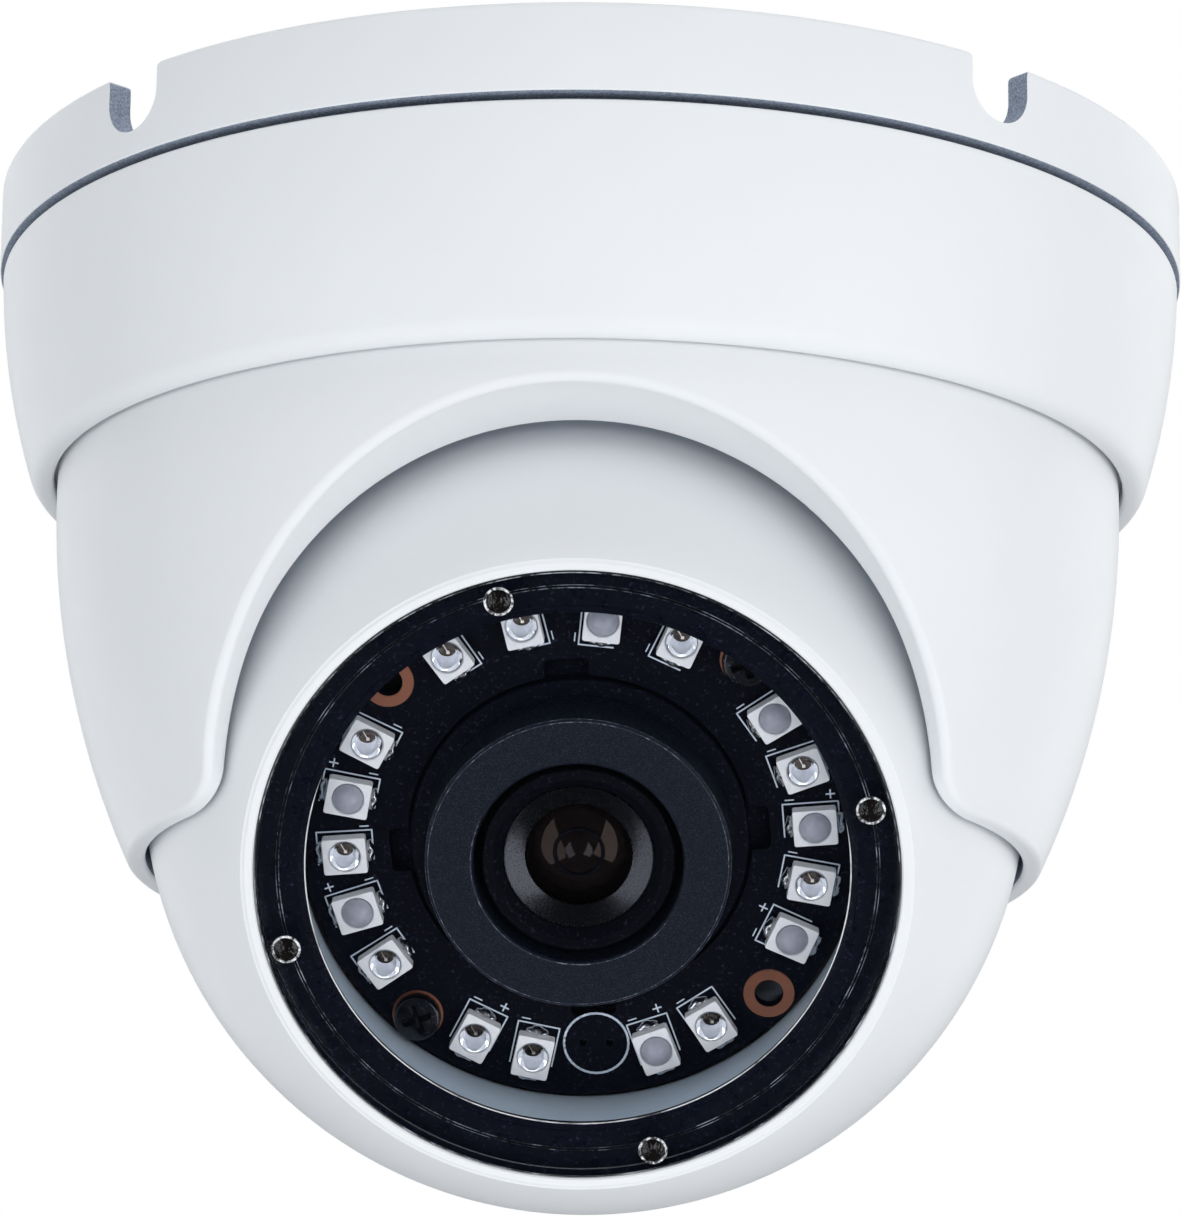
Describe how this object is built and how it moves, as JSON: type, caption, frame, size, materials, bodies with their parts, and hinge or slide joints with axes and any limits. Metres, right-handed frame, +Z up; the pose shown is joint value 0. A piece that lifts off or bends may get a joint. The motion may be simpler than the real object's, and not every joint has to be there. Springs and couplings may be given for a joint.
{
  "type": "dome cctv camera",
  "caption": "Ceiling dome camera: round screw-up base, twist-off cover ring, panning hood with an arched cut-out, and a tilting ball with a flat window over a lens and infrared LEDs.",
  "frame": {"origin": "centre of the plane that lies against the ceiling, over the cable hole", "axes": "+Z points up into the ceiling, and the lens looks towards -Y and 33.45 degrees down"},
  "size_m": [0.0934, 0.0934, 0.0799],
  "materials": {
    "base_paint": "satin cool-white powder coat, fine orange peel",
    "cover_paint": "satin cool-white powder coat, fine orange peel",
    "hood_paint": "satin cool-white powder coat, fine orange peel",
    "ball_paint": "satin cool-white powder coat, fine orange peel",
    "black_rubber": "matt black silicone rubber",
    "shroud_rubber": "matt textured dark blue-grey rubber",
    "nylon": "natural nylon",
    "steel": "zinc-plated pressed steel",
    "aluminium": "plain sheet aluminium",
    "brass": "turned brass",
    "black_metal": "black oxide",
    "grey_metal": "satin grey",
    "black_plastic": "smooth black plastic",
    "black_board": "black solder mask with white marking and copper rings",
    "green_board": "green solder mask",
    "led_white": "white LED package with a clear dome",
    "sensor_glass": "dark glass over silicon",
    "lens_glass": "coated optical glass",
    "window_plastic": "clear flat polycarbonate"
  },
  "bodies": {
    "base": {"mounting_base": "base_paint", "cable_grommet": "black_rubber", "cover_seal": "black_rubber", "pressure_ring": "nylon"},
    "cover": {"cover_ring": "cover_paint"},
    "hood": {"hood": "hood_paint", "ball_clamp": "steel", "clamp_screw_1": "grey_metal", "clamp_screw_2": "grey_metal", "clamp_screw_3": "grey_metal"},
    "tilt": {"guide_ring": "nylon"},
    "ball": {"ball_front": "ball_paint", "ball_rear": "ball_paint", "ball_seal": "black_rubber", "cable_gland": "black_rubber", "window": "window_plastic", "window_bezel": "black_plastic", "lens_shroud": "shroud_rubber", "lens_barrel": "black_metal", "lens_front_ring": "grey_metal", "front_lens": "lens_glass", "rear_lens": "lens_glass", "lens_holder": "black_plastic", "ir_cut_filter": "lens_glass", "image_sensor": "sensor_glass", "sensor_board": "green_board", "main_board": "green_board", "chassis_plate": "aluminium", "ir_board": "black_board", "chassis_screw_1": "grey_metal", "chassis_screw_2": "grey_metal", "chassis_screw_3": "grey_metal", "board_standoff_1": "brass", "front_standoff_1": "brass", "board_standoff_2": "brass", "front_standoff_2": "brass", "board_standoff_3": "brass", "front_standoff_3": "brass", "board_standoff_4": "brass", "front_standoff_4": "brass", "board_screw_1": "black_metal", "board_screw_2": "black_metal", "ir_led_01": "led_white", "ir_led_02": "led_white", "ir_led_03": "led_white", "ir_led_04": "led_white", "ir_led_05": "led_white", "ir_led_06": "led_white", "ir_led_07": "led_white", "ir_led_08": "led_white", "ir_led_09": "led_white", "ir_led_10": "led_white", "ir_led_11": "led_white", "ir_led_12": "led_white", "ir_led_13": "led_white", "ir_led_14": "led_white", "ir_led_15": "led_white", "ir_led_16": "led_white", "ir_led_17": "led_white", "ir_led_18": "led_white"}
  },
  "joints": [
    {"name": "cover_twist", "type": "hinge", "parent": "base", "child": "cover", "pos_m": [0, 0, 0], "axis": [0, 0, 1], "range_deg": [0, 15]},
    {"name": "pan", "type": "hinge", "parent": "base", "child": "hood", "pos_m": [0, 0, 0], "axis": [0, 0, 1], "range_deg": [-180, 180]},
    {"name": "tilt", "type": "hinge", "parent": "hood", "child": "tilt", "pos_m": [0, 0, -0.04563], "axis": [1, 0, 0], "range_deg": [-20, 56.5]},
    {"name": "lens_turn", "type": "hinge", "parent": "tilt", "child": "ball", "pos_m": [0, 0, -0.04563], "axis": [0, -0.8344, -0.5512], "range_deg": [-180, 180]}
  ]
}
